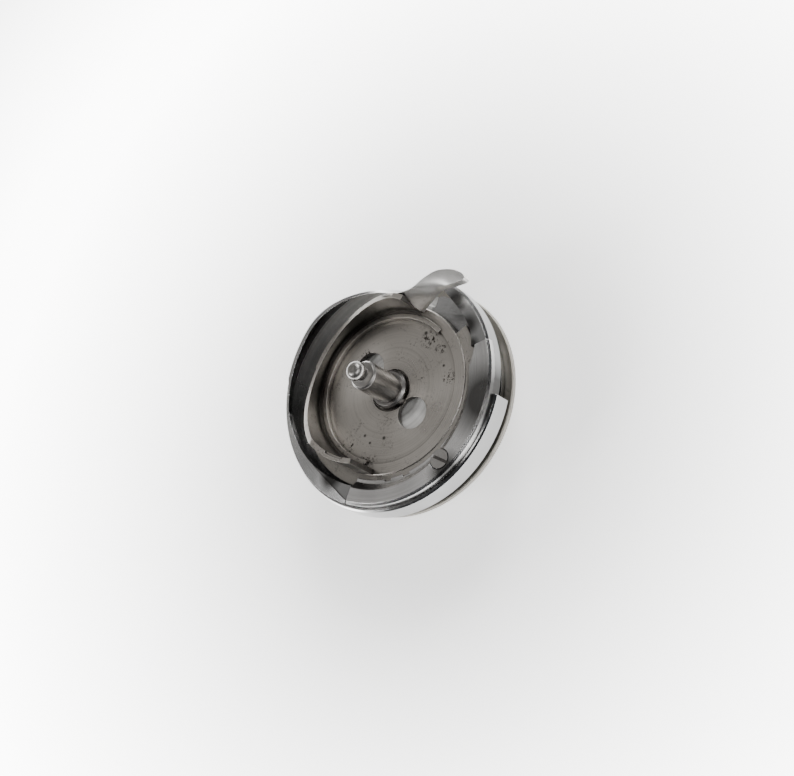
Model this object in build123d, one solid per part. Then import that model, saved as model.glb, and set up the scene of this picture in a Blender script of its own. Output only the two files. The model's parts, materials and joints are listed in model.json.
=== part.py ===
from build123d import *
import math
import os

# Rotary sewing hook with its bobbin-case base, in millimetres.
# The shaft axis is Z. The origin is on that axis, at the hub's rear face.
# Angles are in plan, counterclockwise from +X, as seen from the front (+Z).

# ---- driving dimensions ----
FACE = 17.0                  # front face of the retaining ring
BODY_R = 19.4                # outside of the hook body and the ring
RIM_INNER_R = 18.7           # inside of the thin left rim
CORE_R = 15.6                # core that carries the raceway
FLANGE_R = 19.15             # rear flange disc
FLANGE_FRONT = FACE - 7.2
FLANGE_REAR = FACE - 8.2
BEVEL = 0.4                  # polished bevel on the outer front edge

RACE_FLOOR = FACE - 2.55     # ledge that the rib runs on
RACE_R = 16.25               # wall round the rib
RUN = 0.05                   # running clearance, radial and axial
RIB_R = RACE_R - RUN
RIB_TOP = FACE - 1.30
RING_REAR = FACE - 1.25
CUP_FLOOR = FACE - 3.55      # inner bottom of the hook body
SKIRT_R = 13.50              # journal under the bobbin-case base
CAVITY_FLOOR = FACE - 6.1    # bottom of the hollow inside the left rim
CUP_START = 118.0            # where the left rim begins
STEP_R = 17.7                # low step round the core in the thread opening

RING_START = 282.8           # retaining ring, from below the horn ...
RING_END = 407.5             # ... round to the root of the beak
RING_INNER_R = 15.0
RING_CUSP = 392.0            # where the inner edge turns outwards
BEAK_END = 462.5
BEAK_INNER_R = 17.0

BAND_R = 20.05               # outer guard band
BAND_T = 0.6
BAND_TOP = FACE - 1.4
BAND_REAR = FACE - 5.0
BAND_START = 205.0
BAND_END = 381.5

SHAFT_R = 3.97               # shaft bore
SHAFT_DEPTH = 11.1           # length of the shaft bore
WICK_R = 3.0                 # seat of the oil wick beyond it
HUB_R = 8.5
SPIGOT_R = 6.5
SPIGOT_END = FACE - 4.4
FIT = 0.02                   # clearance of a pressed piece

BASE_R = 14.14               # cylinder of the bobbin-case base
BASE_TOP = FACE - 1.13
DISC_TOP = FACE - 1.63       # turned floor disc
DISC_REAR = FACE - 2.5
DISC_R = 12.28
RIDGE_R0 = 11.9
RIDGE_R1 = 12.7
RIDGE_TOP = FACE - 0.8
HOLE_R = 2.65                # two through holes in the floor
HOLE_AT = (5.95, -1.45)

WALL_R0 = 13.2               # guard wall of the bobbin-case base
WALL_R1 = 14.05
WALL_LOW = 0.8               # its lowest height above the ring's face
WALL_HIGH = 5.2
WALL_SLOPE = 0.42
FINGER_T = 1.4               # thickness of the position finger
WALL_START = 97.0
WALL_END = 293.0

STUD_R = 2.35
STUD_SHOULDER = FACE + 6.3
STUD_NECK_R = 1.15
STUD_TIP_R = 1.58
STUD_TIP = FACE + 9.3
FOOT_R = 1.9                 # stud inside its collar
COLLAR_R = 3.2
COLLAR_TOP = DISC_TOP + 0.95
RECESS_R = 3.55


# ---- helpers ----
def sector(r0, r1, z0, z1, start=0.0, end=360.0):
    """Annular block between two radii and heights, from one plan angle to the other."""
    section = Plane.XZ * Pos((r0 + r1) / 2, (z0 + z1) / 2) * Rectangle(r1 - r0, z1 - z0)
    return Rot(0, 0, start) * revolve(section, Axis.Z, end - start)


def turned(points, start=0.0, end=360.0):
    """Revolve a closed outline of (radius, height) points about the shaft axis."""
    outline = make_face(Plane.XZ * Polyline(*points, close=True))
    return Rot(0, 0, start) * revolve(outline, Axis.Z, end - start)


def drill(radius, x, y, z0, z1):
    """Upright cylinder from z0 to z1, used as a hole or as a pin."""
    return Pos(x, y, (z0 + z1) / 2) * Cylinder(radius, z1 - z0)


def polar(radius, angle):
    """Plan position at a radius and an angle."""
    a = math.radians(angle)
    return radius * math.cos(a), radius * math.sin(a)


def radial(radius, r0, r1, angle, z):
    """Cylinder lying along a plan radius, from r0 to r1."""
    rod = Rot(0, 90, 0) * Cylinder(radius, r1 - r0)
    return Rot(0, 0, angle) * Pos((r0 + r1) / 2, 0, z) * rod


# ---- places of the fasteners ----
RING_SCREW_AT = (16.15, -5.53)
RING_DOWELS_AT = [polar(17.75, 33.0), polar(17.75, -66.0)]
DOWEL_R = 0.6
BAND_SCREW_ANGLES = [212.0, 230.0, 248.0]
BAND_SCREW_Z = FACE - 3.3
FLANGE_SCREW_R = 12.4
FLANGE_SCREW_ANGLES = [50.0, 170.0, 290.0]
SET_SCREW_ANGLES = [60.0, 150.0]
SET_SCREW_Z = 4.4
SET_SCREW_R = 1.5
PLUG_R = 2.0


# ---- hook body ----
def rim_scoop():
    """Block above the left rim, whose top falls away towards the thread opening."""
    crest = (2.0, FACE + 1.25)
    fall = Plane.YZ * ThreePointArc(crest, (8.8, FACE + 0.07), (15.4, FACE - 6.9))
    lid = Plane.YZ * Polyline(
        (15.4, FACE - 6.9), (24.0, FACE - 6.9), (24.0, FACE + 8.0), (-24.0, FACE + 8.0),
        (-24.0, FACE + 0.45), (-9.0, FACE + 0.45), crest,
    )
    return Pos(-24, 0, 0) * extrude(make_face(fall + lid), 20.0, dir=(1, 0, 0))


def horn_plate():
    """Blunt horn that widens inwards from the left rim and ends beside the ring."""
    root = (-15.4, -10.8)
    end = (4.2, -15.9)
    edge = ThreePointArc(root, (-6.9, -15.95), end)
    back = Polyline(end, (4.8, -24.0), (-20.0, -24.0), root)
    return Pos(0, 0, FACE - 1.0) * extrude(make_face(edge + back), 5.0)


def horn_facet():
    """Cutter for the flat facet along the horn's inner edge."""
    start = Vector(-4.9, -16.45, FACE + 0.46)
    outer_end = Vector(3.1, -18.3, FACE - 0.08)
    inner_end = Vector(3.4, -15.9, FACE - 0.26)
    along = outer_end - start
    plane = Plane(origin=start, x_dir=along, z_dir=along.cross(inner_end - start))
    return plane * Pos(5.85, 1.6, 1) * Box(12.3, 3.2, 2)


def horn_slope():
    """Eccentric cone outside the horn, falling to the body's outer edge."""
    inner, outer, top = 24.4, 30.4, FACE + 3
    ring = turned([(inner, FACE + 0.46), (outer, FACE - 1.91), (outer, top), (inner, top)])
    return Pos(2.1, 6.9, 0) * ring


def cup_cavity():
    """Hollow inside the left rim, open to the front."""
    outer = Plane.XZ * Polyline(
        (RIM_INNER_R, FACE - 1.2), (RIM_INNER_R, FACE + 3), (CORE_R + 0.02, FACE + 3),
        (CORE_R + 0.02, CAVITY_FLOOR), (16.6, CAVITY_FLOOR),
    )
    hollow = Plane.XZ * ThreePointArc(
        (16.6, CAVITY_FLOOR), (18.2, FACE - 4.0), (RIM_INNER_R, FACE - 1.2))
    span = RING_START + 8 - CUP_START
    return Rot(0, 0, CUP_START - 4) * revolve(make_face(outer + hollow), Axis.Z, span)


def outer_bevel():
    """Ring-shaped cutter for the bevel on the outer front edge."""
    return turned([
        (BODY_R - BEVEL, FACE + 0.01), (BODY_R + 0.5, FACE + 0.01),
        (BODY_R + 0.5, FACE - BEVEL - 0.5), (BODY_R, FACE - BEVEL),
    ])


def beak_throat():
    """Cutter that leaves the beak's tapering inner edge."""
    start = polar(16.2, RING_END - 0.5)
    tip = polar(19.6, 102.5)
    inner = Spline(start, polar(BEAK_INNER_R, 61.0), polar(17.25, 76.0), polar(18.1, 91.0), tip)
    inside = Polyline(tip, polar(20.5, 119.0), polar(12.0, 119.0), polar(12.0, 47.0), start)
    return Pos(0, 0, RACE_FLOOR) * extrude(make_face(inner + inside), 5.0)


def beak_underside():
    """Slanted cutter that thins the beak towards its tip."""
    place = Pos(*polar(18.4, 88.0), FACE - 2.3) * Rot(0, 0, 88.0)
    return place * Rot(7.6, 0, 0) * Pos(0, 0, -2) * Box(5, 26, 4)


def core_flat():
    """Cutter for the straight flat across the core, in the thread opening."""
    place = Pos(*polar(13.75, 107.2), 0) * Rot(0, 0, 17.2)
    height = FACE - 2.5 - CAVITY_FLOOR
    return place * Pos(2.25, 4, CAVITY_FLOOR + height / 2) * Box(14.5, 8, height)


def make_hook_body():
    far = BODY_R + 3
    body = sector(0, BODY_R, FLANGE_FRONT, FACE + 1.3)
    # inside: above the core, then the raceway bore and the inner bottom
    body -= sector(0, CORE_R + 0.05, RACE_FLOOR, FACE + 3)
    body -= sector(0, SKIRT_R + RUN, CUP_FLOOR, FACE)
    # ring seat and what lies behind it
    body -= sector(CORE_R - 1, far, RING_REAR, FACE + 3, RING_START - 0.4, RING_END)
    body -= sector(CORE_R - 1, RACE_R, RACE_FLOOR, FACE, RING_START - 3, RING_END + 12)
    body -= sector(CORE_R, far, FLANGE_FRONT - 1, FACE - 4.6, RING_START - 0.4, BAND_END)
    body -= sector(CORE_R, far, CAVITY_FLOOR, FACE - 3.0, BAND_END - 0.5, 480.0)
    body -= sector(STEP_R, far, FLANGE_FRONT - 1, CAVITY_FLOOR + 0.1, BAND_END - 0.5, CUP_START + 360)
    # beak
    body -= sector(CORE_R - 1, far, FACE, FACE + 3, RING_END - 1, 480.0)
    body -= beak_throat()
    body -= beak_underside()
    # thread opening between the beak's tip and the left rim
    body -= sector(CORE_R - 0.3, far, CAVITY_FLOOR, FACE + 3, BEAK_END, CUP_START + 360)
    body -= core_flat()
    # hollow cup with its horn
    body -= cup_cavity() - horn_plate()
    body -= horn_facet()
    body -= rim_scoop()
    body -= Pos(10, -15, FACE + 0.45 + 2) * Box(29, 16, 4)
    body -= horn_slope()
    body -= outer_bevel() & sector(10, far, FACE - 2, FACE + 1, RING_END - 2, 480.0)
    # holes
    body -= drill(SPIGOT_R + FIT, 0, 0, FLANGE_FRONT - 1, SPIGOT_END)
    body -= drill(PLUG_R + FIT, 0, 0, SPIGOT_END - 1, FACE)
    body -= drill(0.67, *RING_SCREW_AT, FACE - 4.3, FACE)
    for x, y in RING_DOWELS_AT:
        body -= drill(DOWEL_R + FIT, x, y, FACE - 2.4, FACE)
    for angle in FLANGE_SCREW_ANGLES:
        body -= drill(1.27, *polar(FLANGE_SCREW_R, angle), FLANGE_FRONT - 1, FACE - 4.6)
    for angle in BAND_SCREW_ANGLES:
        body -= radial(0.72, 18.85, far, angle, BAND_SCREW_Z)
    return body


# ---- ring, band, flange and hub ----
def ring_blank():
    """Crescent whose inner edge sweeps outwards beyond the cusp."""
    ring = sector(RING_INNER_R, BODY_R, RING_REAR, FACE, RING_START, RING_END)
    cusp = polar(RING_INNER_R - 0.05, RING_CUSP)
    end = polar(16.95, RING_END + 0.3)
    sweep = ThreePointArc(cusp, polar(15.75, RING_CUSP + 6.0), end)
    inside = Polyline(end, polar(12.0, RING_END + 4), polar(12.0, RING_CUSP), cusp)
    return ring - Pos(0, 0, RING_REAR - 1) * extrude(make_face(sweep + inside), 4.0)


def make_retaining_ring():
    ring = ring_blank() - outer_bevel()
    # eccentric conical relief along the lower inner edge
    relief = Pos(0.65, -1.05, FACE - 0.5) * Cone(14.35, 15.6, 1.02)
    ring -= relief
    for angle in (-17.4, -42.0, -55.0):
        ring -= Rot(0, 0, angle) * Pos(RING_INNER_R, 0, FACE - 0.6) * Box(0.7, 1.2, 3.0)
    x, y = RING_SCREW_AT
    ring -= drill(0.75, x, y, FACE - 2, FACE)
    ring -= drill(1.72, x, y, FACE - 0.8, FACE + 1)
    for x, y in RING_DOWELS_AT:
        ring -= drill(DOWEL_R + FIT, x, y, FACE - 2, FACE - 0.5)
    return ring


def make_ring_screw():
    x, y = RING_SCREW_AT
    head = drill(1.55, x, y, FACE - 0.8, FACE + 0.02)
    shank = drill(0.65, x, y, FACE - 4.2, FACE - 0.7)
    slot = Pos(x, y, FACE) * Rot(0, 0, 5.0) * Box(5, 0.48, 0.9)
    return head + shank - slot


def make_ring_dowels():
    pins = [drill(DOWEL_R, x, y, FACE - 2.35, FACE - 0.55) for x, y in RING_DOWELS_AT]
    return Compound(children=pins)


def make_guard_band():
    top, rear = BAND_TOP, BAND_REAR
    r0, r1 = BAND_R - BAND_T, BAND_R
    band = turned([
        (r0, rear), (r1 - 0.12, rear), (r1, rear + 0.12),
        (r1, top - 0.35), (r1 - 0.25, top), (r0, top),
    ], BAND_START, BAND_END)
    for angle in BAND_SCREW_ANGLES:
        band -= radial(0.75, 18.0, 22.0, angle, BAND_SCREW_Z)
        band -= radial(1.32, 19.75, 22.0, angle, BAND_SCREW_Z)
    return band


def make_guard_band_screws():
    screws = []
    for angle in BAND_SCREW_ANGLES:
        screw = radial(0.7, 18.9, BAND_R - 0.1, angle, BAND_SCREW_Z)
        screw += radial(1.3, 19.76, BAND_R + 0.02, angle, BAND_SCREW_Z)
        slot = Rot(0, 0, angle) * Pos(BAND_R, 0, BAND_SCREW_Z) * Box(0.3, 3, 0.35)
        screws.append(screw - slot)
    return Compound(children=screws)


def make_rear_flange():
    edge = 0.18
    disc = turned([
        (SPIGOT_R + FIT, FLANGE_REAR), (FLANGE_R - edge, FLANGE_REAR), (FLANGE_R, FLANGE_REAR + edge),
        (FLANGE_R, FLANGE_FRONT - edge), (FLANGE_R - edge, FLANGE_FRONT), (SPIGOT_R + FIT, FLANGE_FRONT),
    ])
    for angle in FLANGE_SCREW_ANGLES:
        x, y = polar(FLANGE_SCREW_R, angle)
        disc -= drill(1.35, x, y, FLANGE_REAR - 1, FLANGE_FRONT + 1)
        disc -= Pos(x, y, FLANGE_REAR + 0.4) * Cone(2.16, 1.3, 0.82)
    return disc


def make_flange_screws():
    screws = []
    for angle in FLANGE_SCREW_ANGLES:
        x, y = polar(FLANGE_SCREW_R, angle)
        screw = drill(1.22, x, y, FLANGE_REAR + 0.3, FACE - 4.7)
        screw += Pos(x, y, FLANGE_REAR + 0.4) * Cone(2.1, 1.24, 0.8)
        slot = Pos(x, y, FLANGE_REAR) * Rot(0, 0, angle + 35) * Box(5, 0.5, 0.7)
        screws.append(screw - slot)
    return Compound(children=screws)


def make_hub_sleeve():
    edge = 0.5
    hub = turned([
        (SHAFT_R, 0), (HUB_R - edge, 0), (HUB_R, edge), (HUB_R, FLANGE_REAR - 0.3),
        (HUB_R - 0.3, FLANGE_REAR), (SPIGOT_R, FLANGE_REAR), (SPIGOT_R, SPIGOT_END - 0.05),
        (WICK_R, SPIGOT_END - 0.05), (WICK_R, SHAFT_DEPTH), (SHAFT_R, SHAFT_DEPTH),
    ])
    for angle in SET_SCREW_ANGLES:
        hub -= radial(SET_SCREW_R, SHAFT_R - 1.5, HUB_R + 1, angle, SET_SCREW_Z)
    return hub


def make_hub_set_screws():
    screws = []
    for angle in SET_SCREW_ANGLES:
        screw = radial(SET_SCREW_R - FIT, 4.45, 8.1, angle, SET_SCREW_Z)
        slot = Rot(0, 0, angle) * Pos(8.1, 0, SET_SCREW_Z) * Rot(30, 0, 0) * Box(1.6, 5, 0.45)
        screws.append(screw - slot)
    return Compound(children=screws)


def make_oil_wick():
    return drill(WICK_R - FIT, 0, 0, SHAFT_DEPTH + 0.1, SPIGOT_END - 0.1)


def make_oil_plug():
    plug = drill(PLUG_R, 0, 0, SPIGOT_END, CUP_FLOOR - 0.05)
    plug -= Pos(0, 0, CUP_FLOOR) * Box(5, 0.5, 0.7)
    return plug - drill(0.35, 0, 0, SPIGOT_END - 1, CUP_FLOOR)


# ---- bobbin-case base ----
def make_base_floor():
    base = turned([
        (0, DISC_REAR), (12.3, DISC_REAR), (12.3, FACE - 3.2), (SKIRT_R, FACE - 3.2),
        (SKIRT_R, DISC_REAR), (BASE_R, DISC_REAR), (BASE_R, BASE_TOP - 0.12),
        (BASE_R - 0.12, BASE_TOP), (DISC_R, BASE_TOP), (DISC_R - 0.1, DISC_TOP), (0, DISC_TOP),
    ])
    # rib that runs in the raceway, cut away at the thread opening and at a side notch
    for start, end in ((118.0, 190.0), (214.0, 424.0)):
        base += sector(BASE_R - 0.5, RIB_R, DISC_REAR, RIB_TOP, start, end)
    # raised ridge round the left of the floor
    ridge = turned([
        (RIDGE_R0, DISC_TOP - 0.3), (RIDGE_R0, RIDGE_TOP - 0.06), (RIDGE_R0 + 0.06, RIDGE_TOP),
        (RIDGE_R1 - 0.1, RIDGE_TOP), (RIDGE_R1, RIDGE_TOP - 0.1), (RIDGE_R1, DISC_TOP - 0.3),
    ], 74.0, 286.0)
    base += ridge
    x, y = HOLE_AT
    base -= drill(HOLE_R, x, y, DISC_REAR - 2, FACE)
    base -= drill(HOLE_R, -x, -y, DISC_REAR - 2, FACE)
    base -= drill(RECESS_R, 0, 0, DISC_TOP - 0.35, FACE)
    return base - drill(1.8 + FIT, 0, 0, DISC_REAR - 1, FACE)


def make_guard_wall():
    wall = sector(WALL_R0, WALL_R1, BASE_TOP, FACE + WALL_HIGH, WALL_START, WALL_END)
    tilt = math.degrees(math.atan(WALL_SLOPE))
    above = Pos(-WALL_R1, 0, FACE + WALL_LOW) * Rot(0, -tilt, 0) * Pos(0, 0, 20) * Box(80, 60, 40)
    wall -= above
    # shallow step along the inner edge of the lower corner
    wall -= sector(WALL_R0 - 1, WALL_R0 + 0.35, FACE + WALL_HIGH - 0.3, FACE + 9, 270.0, 286.0)
    return wall


def finger_section(left, crest, right, drop):
    """Six-sided slice of the finger: three points on top, three beneath."""
    top = [Vector(*left), Vector(*crest), Vector(*right)]
    below = [point + Vector(*drop) for point in reversed(top)]
    return make_face(Polyline(*top, *below, close=True))


def in_plane(left, right, along, rise):
    """Point between left and right, raised by rise."""
    return tuple(a + (b - a) * along + c for a, b, c in zip(left, right, (0, 0, rise)))


def make_position_finger():
    # left edge, right edge, crest position, crest rise (heights above the ring's face)
    stations = [
        ((-6.35, 10.90, 4.5), (-1.75, 12.30, 0.2), 0.80, 3.4),
        ((-6.24, 12.10, 4.75), (-1.15, 13.22, 0.6), 0.80, 3.2),
        ((-4.25, 13.05, 5.0), (0.56, 14.83, 2.3), 0.66, 1.6),
        ((-2.13, 14.35, 5.2), (1.92, 16.05, 3.5), 0.55, 0.75),
        ((-0.45, 15.67, 5.6), (2.90, 17.20, 4.3), 0.50, 0.30),
        ((0.82, 17.60, 5.9), (3.71, 17.82, 4.7), 0.50, 0.20),
        ((2.36, 19.59, 5.9), (5.10, 18.57, 4.9), 0.50, 0.20),
        ((4.51, 20.80, 5.6), (6.23, 19.45, 4.9), 0.50, 0.15),
        ((6.24, 21.21, 5.2), (7.31, 20.39, 4.9), 0.50, 0.08),
        ((7.10, 21.10, 5.0), (7.64, 20.77, 4.85), 0.50, 0.03),
    ]
    sections = []
    for left, right, along, rise in stations:
        lift = Vector(0, 0, FACE)
        left = tuple(Vector(*left) + lift)
        right = tuple(Vector(*right) + lift)
        crest = in_plane(left, right, along, rise)
        sections.append(finger_section(left, crest, right, (0, 0, -FINGER_T)))
    finger = loft(sections)
    finger -= sector(0, WALL_R1 + 0.01, FACE - 5, FACE + 12, WALL_START - 0.05, WALL_START + 60)
    return finger - sector(0, WALL_R0 + 0.1, FACE - 5, FACE + 12, 60.0, WALL_START + 5)


def make_center_stud():
    foot = DISC_REAR - 0.55
    bulb = STUD_TIP - 1.4
    shaft = Plane.XZ * Polyline(
        (0, foot), (1.8, foot), (1.8, DISC_TOP - 0.35), (FOOT_R, DISC_TOP - 0.35),
        (FOOT_R, COLLAR_TOP), (STUD_R, COLLAR_TOP), (STUD_R, STUD_SHOULDER - 0.3),
        (STUD_R - 0.3, STUD_SHOULDER), (STUD_NECK_R, STUD_SHOULDER + 0.25),
        (STUD_NECK_R, bulb - 0.35), (STUD_TIP_R, bulb), (STUD_TIP_R, bulb + 0.35),
    )
    dome = Plane.XZ * ThreePointArc(
        (STUD_TIP_R, bulb + 0.35), (1.12, STUD_TIP - 0.28), (0.45, STUD_TIP))
    top = Plane.XZ * Polyline((0.45, STUD_TIP), (0, STUD_TIP - 0.08), (0, foot))
    return revolve(make_face(shaft + dome + top), Axis.Z)


def make_stud_collar():
    r0 = FOOT_R + FIT
    bottom = DISC_TOP - 0.35
    return turned([
        (r0, bottom), (COLLAR_R, bottom), (COLLAR_R, COLLAR_TOP - 0.35),
        (COLLAR_R - 0.35, COLLAR_TOP), (r0, COLLAR_TOP),
    ])


def make_stud_washer():
    return turned([
        (1.8 + FIT, DISC_REAR - 0.5), (3.1, DISC_REAR - 0.5), (3.3, DISC_REAR - 0.3),
        (3.3, DISC_REAR), (1.8 + FIT, DISC_REAR),
    ])


PARTS = {
    "hook_body": make_hook_body,
    "retaining_ring": make_retaining_ring,
    "ring_screw": make_ring_screw,
    "ring_dowels": make_ring_dowels,
    "guard_band": make_guard_band,
    "guard_band_screws": make_guard_band_screws,
    "rear_flange": make_rear_flange,
    "flange_screws": make_flange_screws,
    "hub_sleeve": make_hub_sleeve,
    "hub_set_screws": make_hub_set_screws,
    "oil_wick": make_oil_wick,
    "oil_plug": make_oil_plug,
    "base_floor": make_base_floor,
    "guard_wall": make_guard_wall,
    "position_finger": make_position_finger,
    "center_stud": make_center_stud,
    "stud_collar": make_stud_collar,
    "stud_washer": make_stud_washer,
}

os.makedirs("parts", exist_ok=True)
for name, make in PARTS.items():
    export_step(make(), f"parts/{name}.step")
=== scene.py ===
import json
import math

import bpy
from mathutils import Matrix, Vector


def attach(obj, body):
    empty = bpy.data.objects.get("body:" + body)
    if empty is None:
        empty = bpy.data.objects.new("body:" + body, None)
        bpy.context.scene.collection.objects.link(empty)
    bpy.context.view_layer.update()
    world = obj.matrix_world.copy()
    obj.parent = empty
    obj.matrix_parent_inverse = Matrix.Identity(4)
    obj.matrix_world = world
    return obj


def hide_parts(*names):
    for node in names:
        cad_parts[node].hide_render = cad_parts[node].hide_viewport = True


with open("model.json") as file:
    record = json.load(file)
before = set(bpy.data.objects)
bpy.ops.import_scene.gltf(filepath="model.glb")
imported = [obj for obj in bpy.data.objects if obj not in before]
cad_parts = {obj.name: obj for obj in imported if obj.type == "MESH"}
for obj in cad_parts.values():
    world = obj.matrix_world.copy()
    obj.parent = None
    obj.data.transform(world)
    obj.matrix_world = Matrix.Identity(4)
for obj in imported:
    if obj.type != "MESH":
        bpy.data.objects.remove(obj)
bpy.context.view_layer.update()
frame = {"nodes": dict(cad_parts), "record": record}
NODES = frame["nodes"]
MM = 0.001
FACE = 17.0 * MM                # front face of the retaining ring


# ---- node helpers ----
class Graph:
    """Small wrapper that adds nodes to one material."""

    def __init__(self, name):
        self.mat = bpy.data.materials.new(name)
        self.mat.use_nodes = True
        self.tree = self.mat.node_tree
        self.shader = self.tree.nodes["Principled BSDF"]

    def node(self, kind, **props):
        made = self.tree.nodes.new(kind)
        for key, value in props.items():
            setattr(made, key, value)
        return made

    def feed(self, target, value):
        """Link a socket to the target, or set a constant on it."""
        if hasattr(value, "links"):
            self.tree.links.new(value, target)
        else:
            target.default_value = value

    def calc(self, operation, a, b=0.0, c=0.0, clamp=False):
        made = self.node("ShaderNodeMath", operation=operation, use_clamp=clamp)
        for socket, value in zip(made.inputs, (a, b, c)):
            self.feed(socket, value)
        return made.outputs[0]

    def join(self, x, y=0.0, z=0.0):
        made = self.node("ShaderNodeCombineXYZ")
        for socket, value in zip(made.inputs, (x, y, z)):
            self.feed(socket, value)
        return made.outputs[0]

    def split(self, vector):
        made = self.node("ShaderNodeSeparateXYZ")
        self.feed(made.inputs[0], vector)
        return made.outputs

    def noise(self, vector, scale, detail=3.0, rough=0.55):
        made = self.node("ShaderNodeTexNoise")
        self.feed(made.inputs["Vector"], vector)
        made.inputs["Scale"].default_value = scale
        made.inputs["Detail"].default_value = detail
        made.inputs["Roughness"].default_value = rough
        return made.outputs["Fac"]

    def remap(self, value, low, high, to_low, to_high):
        made = self.node("ShaderNodeMapRange")
        for socket, part in zip(made.inputs, (value, low, high, to_low, to_high)):
            self.feed(socket, part)
        return made.outputs[0]

    def mix(self, factor, a, b):
        made = self.node("ShaderNodeMix", data_type="RGBA")
        self.feed(made.inputs[0], factor)
        self.feed(made.inputs[6], a)
        self.feed(made.inputs[7], b)
        return made.outputs[2]

    def bump(self, height, distance, normal=None):
        made = self.node("ShaderNodeBump")
        made.inputs["Strength"].default_value = 1.0
        made.inputs["Distance"].default_value = distance
        self.feed(made.inputs["Height"], height)
        if normal is not None:
            self.feed(made.inputs["Normal"], normal)
        return made.outputs[0]

    def openness(self, reach):
        """1 in the open, towards 0 where other surfaces stand within reach (in mm)."""
        made = self.node("ShaderNodeAmbientOcclusion", samples=6)
        made.inputs["Distance"].default_value = reach * MM
        return made.outputs["AO"]

    def place(self):
        """Object coordinates: the row frame, in metres."""
        return self.node("ShaderNodeTexCoord").outputs["Object"]

    def radius(self, place):
        """Distance from the shaft axis, then x, y and z."""
        x, y, z = self.split(place)
        square = self.calc("ADD", self.calc("MULTIPLY", x, x), self.calc("MULTIPLY", y, y))
        return self.calc("SQRT", square), x, y, z


def rgba(r, g, b):
    return (r, g, b, 1.0)


def add_object(name, data):
    """New object with the given data, linked to the scene."""
    made = bpy.data.objects.new(name, data)
    bpy.context.scene.collection.objects.link(made)
    return made


# ---- steel and felt ----
SOOT = rgba(0.03, 0.025, 0.02)          # stains and pits
CREVICE_SHADE_TONE = rgba(0.035, 0.03, 0.025)          # painted shade in narrow crevices and where pieces meet
HOLLOW_SHADE_TONE = rgba(0.04, 0.037, 0.033)         # painted shade deep inside a hollow
SHADE_AND_PIT_TONE = rgba(0.03, 0.029, 0.027)         # painted shade and painted dark reflections over wide areas, and real pits
UPRIGHT_SHADE_TONE = rgba(0.05, 0.048, 0.045)        # painted shade on upright faces
LIT_MATT_DARK = rgba(0.42, 0.41, 0.39)      # painted light: pale matt inside of the hook, between its turned rings
LIT_MATT_PALE = rgba(0.80, 0.79, 0.77)      # painted light: the pale rings themselves

CREVICE_REACH = 0.7                     # mm
HOLLOW_REACH = 3.5                      # mm
WALL_R = 12.6                           # the base's wall stands outside this radius, in mm
RIM_R = 18.78                           # inside of the left rim, in mm
FLOOR_R = 9.0                           # part of the hook's floor seen through the base's holes, made pale as painted light, in mm
SOLID_SHARE = 0.35                      # share of a spot's radius that it covers fully

# Plan positions on the part, each as x, y and radius in mm.
FLOOR_HOLES = [(5.95, -1.45, 7.6), (-5.95, 1.45, 7.6)]
FLOOR_SPOTS = [(1.8, 10.1, 2.0), (4.6, 9.6, 1.3), (8.9, 6.2, 1.5),
               (-2.1, -11.2, 1.7), (3.0, -11.6, 2.0), (-8.0, 3.0, 1.2)]
FLOOR_PITS = [(-0.1, -8.3, 0.34), (1.5, -8.9, 0.3), (3.5, -7.1, 0.4),
              (0.6, 10.6, 0.45), (6.9, 7.4, 0.3)]
# Painted shade and painted dark reflection on the beak's inner face, the horn and the hook's outer side.
BEAK_AND_HORN_SHADE = [(3.9, 17.2, 2.6), (8.4, 14.6, 2.4), (10.9, 12.3, 1.6),
                 (18.6, 8.4, 5.5), (19.3, 3.0, 5.0), (-0.5, -16.9, 2.4)]
# Painted dark reflection on the right side of the ring and beside the screw.
RING_SIDE_SHADE = [(18.0, 6.0, 7.5), (18.2, -6.5, 3.6)]


def near_any(g, place, spots):
    """1 near any of the given plan positions, fading out towards each one's radius."""
    total = 0.0
    for x, y, reach in spots:
        plan = g.split(place)
        away = g.node("ShaderNodeVectorMath", operation="DISTANCE")
        g.feed(away.inputs[0], g.join(plan[0], plan[1], 0.0))
        away.inputs[1].default_value = (x * MM, y * MM, 0.0)
        near = g.remap(away.outputs["Value"], SOLID_SHARE * reach * MM, reach * MM, 1.0, 0.0)
        total = g.calc("MAXIMUM", total, near)
    return total


def stains_on(g, place, amount, spots):
    """Fine specks in loose patches, and dense in the given spots."""
    patch = g.remap(g.noise(place, 420.0, 4.0, 0.6), 0.50, 0.72, 0.0, 1.0)
    if spots:
        patch = g.calc("MAXIMUM", g.calc("MULTIPLY", patch, 0.45), near_any(g, place, spots))
    speck = g.remap(g.noise(place, 2300.0, 3.0, 0.75), 0.53, 0.60, 0.0, 1.0)
    return g.calc("MULTIPLY", g.calc("MULTIPLY", speck, patch), amount, clamp=True)


def upright_faces(g, place, radius):
    """Mask for painted shade: strong on upright faces outside the wall's inner radius and round the floor's
    holes, else 0.
    """
    facing = g.split(g.node("ShaderNodeNewGeometry").outputs["Normal"])
    upright = g.remap(g.calc("ABSOLUTE", facing[2]), 0.2, 0.6, 0.8, 0.0)
    where = g.calc("MAXIMUM", g.calc("GREATER_THAN", radius, WALL_R * MM), near_any(g, place, FLOOR_HOLES))
    return g.calc("MULTIPLY", upright, where)


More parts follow.
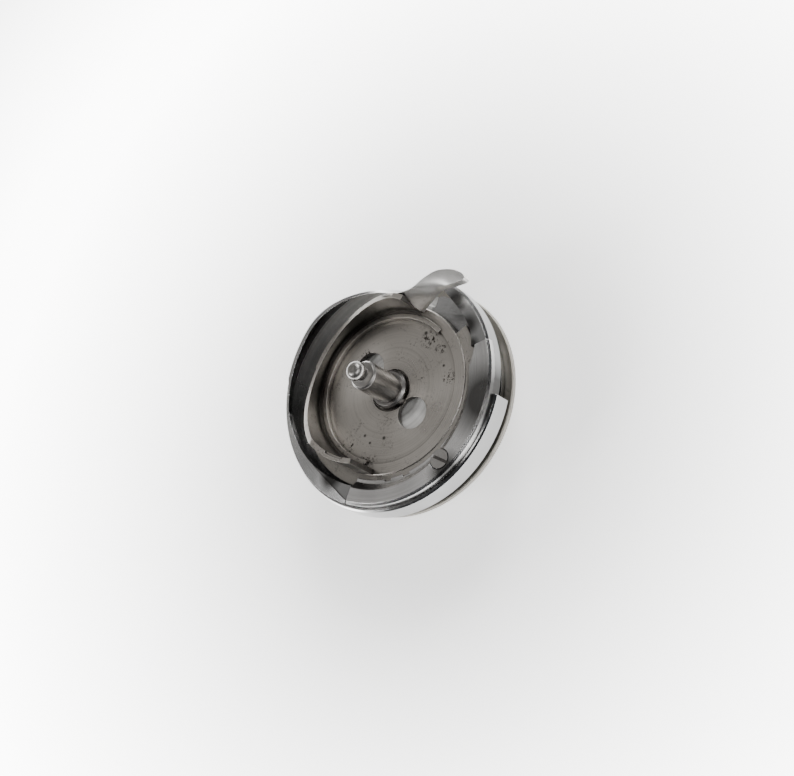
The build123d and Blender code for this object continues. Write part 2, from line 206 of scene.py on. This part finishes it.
def lit_inside_mask(g, radius, x, y, z):
    """Painted light: the hollow inside the left rim, made pale, palest at its upper end, and the middle of
    the hook's floor.
    """
    left = g.calc("LESS_THAN", g.calc("MULTIPLY_ADD", y, 0.3, x), 0.0)
    left = g.calc("MULTIPLY", g.calc("LESS_THAN", radius, RIM_R * MM), left)
    # Painted light: stronger, so paler, towards the upper end of the rim's hollow.
    strength = g.remap(y, -10.0 * MM, 6.0 * MM, 0.08, 0.65)
    low = g.calc("MULTIPLY", g.calc("LESS_THAN", z, FACE - 0.6 * MM), strength)
    return g.calc("MAXIMUM", g.calc("MULTIPLY", left, low), g.calc("LESS_THAN", radius, FLOOR_R * MM))


def turned_tangent(g, x, y):
    """Direction of the turning marks: round the shaft axis."""
    to_world = g.node(
        "ShaderNodeVectorTransform", vector_type="VECTOR", convert_from="OBJECT", convert_to="WORLD")
    g.feed(to_world.inputs[0], g.join(g.calc("MULTIPLY", y, -1.0), x, 0.0))
    unit = g.node("ShaderNodeVectorMath", operation="NORMALIZE")
    g.feed(unit.inputs[0], to_world.outputs[0])
    return unit.outputs[0]


def surface_normal(g, place, height, sand, edge):
    """Softened corners, then turning marks, then a blasted grain."""
    corner = g.node("ShaderNodeBevel", samples=4)
    corner.inputs["Radius"].default_value = edge * MM
    normal = g.bump(height, 0.008 * MM, corner.outputs[0])
    if sand:
        normal = g.bump(g.noise(place, 5200.0, 3.0, 0.75), 0.06 * MM * sand, normal)
    return normal


def steel(name, color, rough, rings, broad, stains, edge, aniso, sand=0.0, spots=(), crevice_shade=0.9,
          hollow_shade=0.0, shade_and_pits=(), painted_lit_inside=False, upright_shade=False):
    """Machined steel, turned about the shaft axis, with real stains, and with painted shade and painted
    light.

    rings and broad are the heights of the fine and wide turning marks; spots hold stain clusters. The list of
    dark areas holds painted shade and painted dark reflections on the hook and ring, and real pits on the
    base;
    the crevice and hollow amounts set painted shade in narrow gaps and deep hollows. Painted shade can also
    go on upright faces, and painted light inside the hook.
    """
    g = Graph(name)
    place = g.place()
    radius, x, y, z = g.radius(place)
    rings_at = g.join(radius, z, g.calc("MULTIPLY", z, 0.5))
    hair = g.noise(rings_at, 11000.0, 2.0, 0.7)
    band = g.noise(rings_at, 1300.0, 2.0)
    cloud = g.noise(place, 110.0)
    grime = stains_on(g, place, stains, spots)

    dark = rgba(*[c * 0.70 for c in color])
    light = rgba(*[min(1.0, c * 1.15) for c in color])
    shade = g.calc("ADD", g.calc("MULTIPLY", hair, rings * 0.5), g.calc("MULTIPLY", cloud, 0.6))
    tone = g.mix(g.remap(shade, 0.35, 0.75, 0.0, 1.0), dark, light)
    tone = g.mix(grime, tone, SOOT)
    # Painted shade: darker where other surfaces stand close, in narrow gaps and inner corners.
    tone = g.mix(g.remap(g.openness(CREVICE_REACH), 0.25, 0.80, crevice_shade, 0.0), tone, CREVICE_SHADE_TONE)
    # Painted shade: darker deep inside hollows, such as the gap at the lower left and the beak's opening.
    if hollow_shade:
        tone = g.mix(g.remap(g.openness(HOLLOW_REACH), 0.15, 0.95, hollow_shade, 0.0), tone, HOLLOW_SHADE_TONE)
    # Painted shade and painted dark reflections on the hook and ring; on the base the same mark draws real
    # pits.
    if shade_and_pits:
        tone = g.mix(g.calc("MULTIPLY", near_any(g, place, shade_and_pits), 0.9), tone, SHADE_AND_PIT_TONE)
    # Painted shade on upright faces: the wall's inside, the sides of the floor's holes, and on the screw.
    if upright_shade:
        tone = g.mix(upright_faces(g, place, radius), tone, UPRIGHT_SHADE_TONE)

    worn = g.remap(cloud, 0.3, 0.7, rough * 0.85, rough * 1.2)
    g.shader.inputs["Metallic"].default_value = 1.0
    # Painted light: the inside of the hook is made pale and matt so that it reads as lit.
    if painted_lit_inside:
        inside = lit_inside_mask(g, radius, x, y, z)
        worn = g.calc("ADD", worn, g.calc("MULTIPLY", inside, 0.3))
        tone = g.mix(inside, tone, g.mix(g.remap(band, 0.25, 0.75, 0.0, 1.0), LIT_MATT_DARK, LIT_MATT_PALE))
        g.feed(g.shader.inputs["Metallic"], g.calc("MULTIPLY_ADD", inside, -0.7, 1.0))

    g.feed(g.shader.inputs["Base Color"], tone)
    g.feed(g.shader.inputs["Roughness"], g.calc("ADD", worn, g.calc("MULTIPLY", grime, 0.35)))
    g.shader.inputs["Anisotropic"].default_value = aniso
    g.feed(g.shader.inputs["Tangent"], turned_tangent(g, x, y))
    height = g.calc("ADD", g.calc("MULTIPLY", hair, rings), g.calc("MULTIPLY", band, broad))
    g.feed(g.shader.inputs["Normal"], surface_normal(g, place, height, sand, edge))
    return g.mat


def felt(name, color):
    g = Graph(name)
    fibre = g.noise(g.place(), 5200.0, 5.0, 0.75)
    tone = g.mix(g.remap(fibre, 0.35, 0.65, 0.0, 1.0), rgba(*[c * 0.5 for c in color]), rgba(*color))
    g.feed(g.shader.inputs["Base Color"], tone)
    g.shader.inputs["Roughness"].default_value = 0.95
    g.feed(g.shader.inputs["Normal"], g.bump(fibre, 0.1 * MM))
    return g.mat


FINISHES = {
    "hook_steel": steel(
        "hook_steel", (0.46, 0.46, 0.46), rough=0.20, rings=0.5, broad=0.3, stains=0.15, edge=0.10, aniso=0.4,
        crevice_shade=0.6, hollow_shade=0.6, shade_and_pits=BEAK_AND_HORN_SHADE, painted_lit_inside=True),
    "ring_steel": steel(
        "ring_steel", (0.56, 0.555, 0.55), rough=0.24, rings=1.6, broad=0.35, stains=0.10, edge=0.14,
        aniso=0.7, shade_and_pits=RING_SIDE_SHADE),
    "band_steel": steel(
        "band_steel", (0.60, 0.60, 0.60), rough=0.10, rings=0.2, broad=0.1, stains=0.05, edge=0.10,
        aniso=0.2),
    "flange_steel": steel(
        "flange_steel", (0.42, 0.40, 0.36), rough=0.40, rings=0.1, broad=0.1, stains=0.5, edge=0.10,
        aniso=0.0, sand=1.0),
    "hub_steel": steel(
        "hub_steel", (0.46, 0.45, 0.43), rough=0.30, rings=1.2, broad=0.6, stains=0.3, edge=0.20, aniso=0.5),
    "screw_steel": steel(
        "screw_steel", (0.33, 0.32, 0.31), rough=0.34, rings=0.8, broad=0.3, stains=0.5, edge=0.05, aniso=0.3,
        hollow_shade=0.5, upright_shade=True),
    "base_steel": steel(
        "base_steel", (0.41, 0.388, 0.36), rough=0.30, rings=1.7, broad=0.9, stains=1.4, edge=0.12, aniso=0.7,
        spots=FLOOR_SPOTS, hollow_shade=0.9, shade_and_pits=FLOOR_PITS, upright_shade=True),
    # Painted light: the finger's steel is made pale, so that its broad face reads as brightly lit.
    "finger_steel": steel(
        "finger_steel", (0.80, 0.79, 0.77), rough=0.42, rings=0.3, broad=0.1, stains=0.1, edge=0.15,
        aniso=0.2),
    "stud_steel": steel(
        "stud_steel", (0.28, 0.27, 0.26), rough=0.32, rings=0.8, broad=0.3, stains=0.3, edge=0.12, aniso=0.5),
    "wick_felt": felt("wick_felt", (0.42, 0.38, 0.31)),
}

for part in frame["record"]["subparts"]:
    obj = NODES[part["node"]]
    obj.data.materials.clear()
    obj.data.materials.append(FINISHES[part["material_slot"]])


# ---- position finger, as one smooth formed sheet ----
# Stations from the root to the tip, in mm, with heights above the ring's face: the sheet's left edge,
# its right edge, how far across it the crest lies, and how high the crest rises.
FINGER = [
    ((-6.24, 12.35, 4.75), (-1.15, 13.30, 0.6), 0.72, 1.5),
    ((-4.25, 13.05, 5.0), (0.56, 14.83, 2.3), 0.62, 0.7),
    ((-2.13, 14.35, 5.2), (1.92, 16.05, 3.5), 0.55, 0.28),
    ((-0.45, 15.67, 5.6), (2.90, 17.20, 4.3), 0.50, 0.10),
    ((0.82, 17.60, 5.9), (3.71, 17.82, 4.7), 0.50, 0.05),
    ((2.36, 19.59, 5.9), (5.10, 18.57, 4.9), 0.50, 0.05),
    ((4.51, 20.80, 5.6), (6.23, 19.45, 4.9), 0.50, 0.05),
    ((6.10, 21.10, 5.2), (7.05, 20.15, 4.9), 0.50, 0.04),
    ((6.75, 21.00, 5.05), (7.20, 20.62, 4.9), 0.50, 0.01),
]
FINGER_T = 1.4                  # thickness of the sheet
FINGER_INNER_R = 13.35          # the sheet stays outside this radius, and so outside the wall's inner face
STEPS_ALONG = 5                 # slices from one station to the next
STEPS_ACROSS = 14


def lerp(a, b, t):
    return tuple(p + (q - p) * t for p, q in zip(a, b))


def catmull_rom(a, b, c, d, t):
    """Point at t between b and c, on the smooth curve through a, b, c and d."""
    bend = 2 * a - 5 * b + 4 * c - d
    twist = 3 * b - a - 3 * c + d
    return 0.5 * (2 * b + (c - a) * t + bend * t * t + twist * t ** 3)


def smooth_rows(rows):
    """Rows of numbers with more rows between them, on a smooth curve."""
    made = []
    for i in range(len(rows) - 1):
        before, after = rows[max(i - 1, 0)], rows[min(i + 2, len(rows) - 1)]
        for k in range(STEPS_ALONG):
            columns = zip(before, rows[i], rows[i + 1], after)
            made.append(tuple(catmull_rom(*column, k / STEPS_ALONG) for column in columns))
    made.append(rows[-1])
    return made


def finger_slice(row):
    """Closed loop round the sheet at one station: the folded top, then the underside."""
    left, right, along, rise = row[0:3], row[3:6], row[6], row[7]
    crest = lerp(left, right, along)
    crest = (crest[0], crest[1], crest[2] + rise)
    top = []
    for i in range(STEPS_ACROSS + 1):
        t = i / STEPS_ACROSS
        if t < along:
            top.append(lerp(left, crest, t / along))
        else:
            top.append(lerp(crest, right, (t - along) / (1 - along)))
    for _ in range(5):          # rounds the fold
        inner = [lerp(lerp(top[i - 1], top[i + 1], 0.5), top[i], 0.4) for i in range(1, STEPS_ACROSS)]
        top = [top[0]] + inner + [top[-1]]
    under = [(x, y, z - FINGER_T) for x, y, z in reversed(top)]
    return top + under


def outside_wall(x, y, z):
    """The point in metres, pushed out to the sheet's smallest radius."""
    push = max(1.0, FINGER_INNER_R / math.hypot(x, y))
    return (x * push * MM, y * push * MM, z * MM + FACE)


def skin(loops):
    """Faces that join closed loops of equal length into one capped tube."""
    n = len(loops[0])
    last = (len(loops) - 1) * n
    faces = []
    for start in range(0, last, n):
        for i in range(n):
            k = (i + 1) % n
            faces.append((start + i, start + k, start + n + k, start + n + i))
    faces.append(tuple(range(n)))
    faces.append(tuple(last + i for i in reversed(range(n))))
    return faces


def make_finger():
    rows = [left + right + (along, rise) for left, right, along, rise in FINGER]
    loops = [finger_slice(row) for row in smooth_rows(rows)]
    verts = [outside_wall(*point) for loop in loops for point in loop]
    mesh = bpy.data.meshes.new("formed_finger")
    mesh.from_pydata(verts, [], skin(loops))
    mesh.update()
    finger = add_object("formed_finger", mesh)
    rounding = finger.modifiers.new("rounding", "BEVEL")
    rounding.width = 0.16 * MM
    rounding.segments = 3
    rounding.angle_limit = math.radians(50)
    mesh.shade_smooth()
    mesh.materials.append(FINISHES["finger_steel"])
    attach(finger, "case_base")
    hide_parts("position_finger")


make_finger()


# ---- floor, light and camera (metres and watts) ----
FLOOR_HALF = 3.0
AIM = Vector((0, 0, 0.01))      # the softboxes point at the middle of the part
SOFTBOXES = [                   # name, position, side length, power
    ("key", (-0.10, 0.60, 0.50), 0.30, 4.0),
    ("fill", (-0.30, -0.60, 0.55), 0.25, 3.0),
    ("spot", (0.48, 0.24, 0.41), 0.06, 0.45),
    ("near", (0.40, -0.02, 0.56), 0.22, 1.4),
]
CAMERA_AT = (0.19074, 0.00077, 0.24857)
CAMERA_RIGHT = Vector((0.6774, 0.4868, -0.5515))
CAMERA_UP = Vector((-0.3775, 0.8735, 0.3074))
CAMERA_BACK = Vector((0.6314, 0.0, 0.7755))     # away from the part, towards the +X side and up


def make_floor():
    """Pale floor with a painted glow, stronger away from the part, so that it is darker round the part as
    painted shade.
    """
    h = FLOOR_HALF
    mesh = bpy.data.meshes.new("floor")
    mesh.from_pydata([(-h, -h, 0), (h, -h, 0), (h, h, 0), (-h, h, 0)], [], [(0, 1, 2, 3)])
    floor = add_object("floor", mesh)
    g = Graph("floor")
    tone = g.mix(g.noise(g.place(), 40.0), rgba(0.90, 0.90, 0.895), rgba(0.93, 0.93, 0.925))
    g.feed(g.shader.inputs["Base Color"], tone)
    g.shader.inputs["Roughness"].default_value = 0.8
    g.shader.inputs["Emission Color"].default_value = rgba(1.0, 1.0, 0.995)
    radius = g.radius(g.place())[0]
    # Painted light: the floor glows, dimmest next to the part as painted shade round it and brightest further
    # out.
    reach = g.calc("POWER", g.remap(radius, 0.026, 0.105, 0.0, 1.0), 1.4)
    painted_glow = g.calc("MULTIPLY_ADD", reach, 9.0, 1.15)
    fade = g.remap(radius, 0.12, 0.20, 1.0, 0.08)
    g.feed(g.shader.inputs["Emission Strength"], g.calc("MULTIPLY", painted_glow, fade))
    mesh.materials.append(g.mat)


def softbox(name, place, side, power):
    light = bpy.data.lights.new(name, "AREA")
    light.shape = "RECTANGLE"
    light.size = side
    light.size_y = side
    light.energy = power
    lamp = add_object(name, light)
    lamp.location = place
    lamp.rotation_euler = (Vector(place) - AIM).to_track_quat("Z", "Y").to_euler()


def make_world():
    """Dim room: brighter on the far side, dark on the near side, softly uneven."""
    world = bpy.data.worlds.new("studio")
    world.use_nodes = True
    tree = world.node_tree
    coord = tree.nodes.new("ShaderNodeTexCoord")
    noise = tree.nodes.new("ShaderNodeTexNoise")
    noise.inputs["Scale"].default_value = 2.2
    noise.inputs["Detail"].default_value = 2.0
    side = tree.nodes.new("ShaderNodeVectorMath")
    side.operation = "DOT_PRODUCT"
    side.inputs[1].default_value = (-0.64, 0.05, 0.02)
    total = tree.nodes.new("ShaderNodeMath")
    total.operation = "MULTIPLY_ADD"
    total.inputs[1].default_value = 0.75
    ramp = tree.nodes.new("ShaderNodeValToRGB")
    dark, bright = ramp.color_ramp.elements
    dark.position = 0.22
    dark.color = rgba(0.05, 0.051, 0.055)
    bright.position = 0.95
    bright.color = rgba(0.62, 0.61, 0.595)
    tree.links.new(coord.outputs["Generated"], noise.inputs["Vector"])
    tree.links.new(coord.outputs["Generated"], side.inputs[0])
    tree.links.new(noise.outputs["Fac"], total.inputs[0])
    tree.links.new(side.outputs["Value"], total.inputs[2])
    tree.links.new(total.outputs[0], ramp.inputs["Fac"])
    tree.links.new(ramp.outputs["Color"], tree.nodes["Background"].inputs[0])
    bpy.context.scene.world = world


def make_camera():
    camera = bpy.data.cameras.new("camera")
    camera.lens = 86.17
    camera.sensor_width = 36.0
    camera.sensor_fit = "HORIZONTAL"
    camera.clip_start = 0.01
    camera.clip_end = 20.0
    eye = add_object("camera", camera)
    turn = Matrix((CAMERA_RIGHT, CAMERA_UP, CAMERA_BACK)).transposed().to_4x4()
    eye.matrix_world = Matrix.Translation(CAMERA_AT) @ turn
    bpy.context.scene.camera = eye


make_floor()
for box in SOFTBOXES:
    softbox(*box)
make_world()
make_camera()
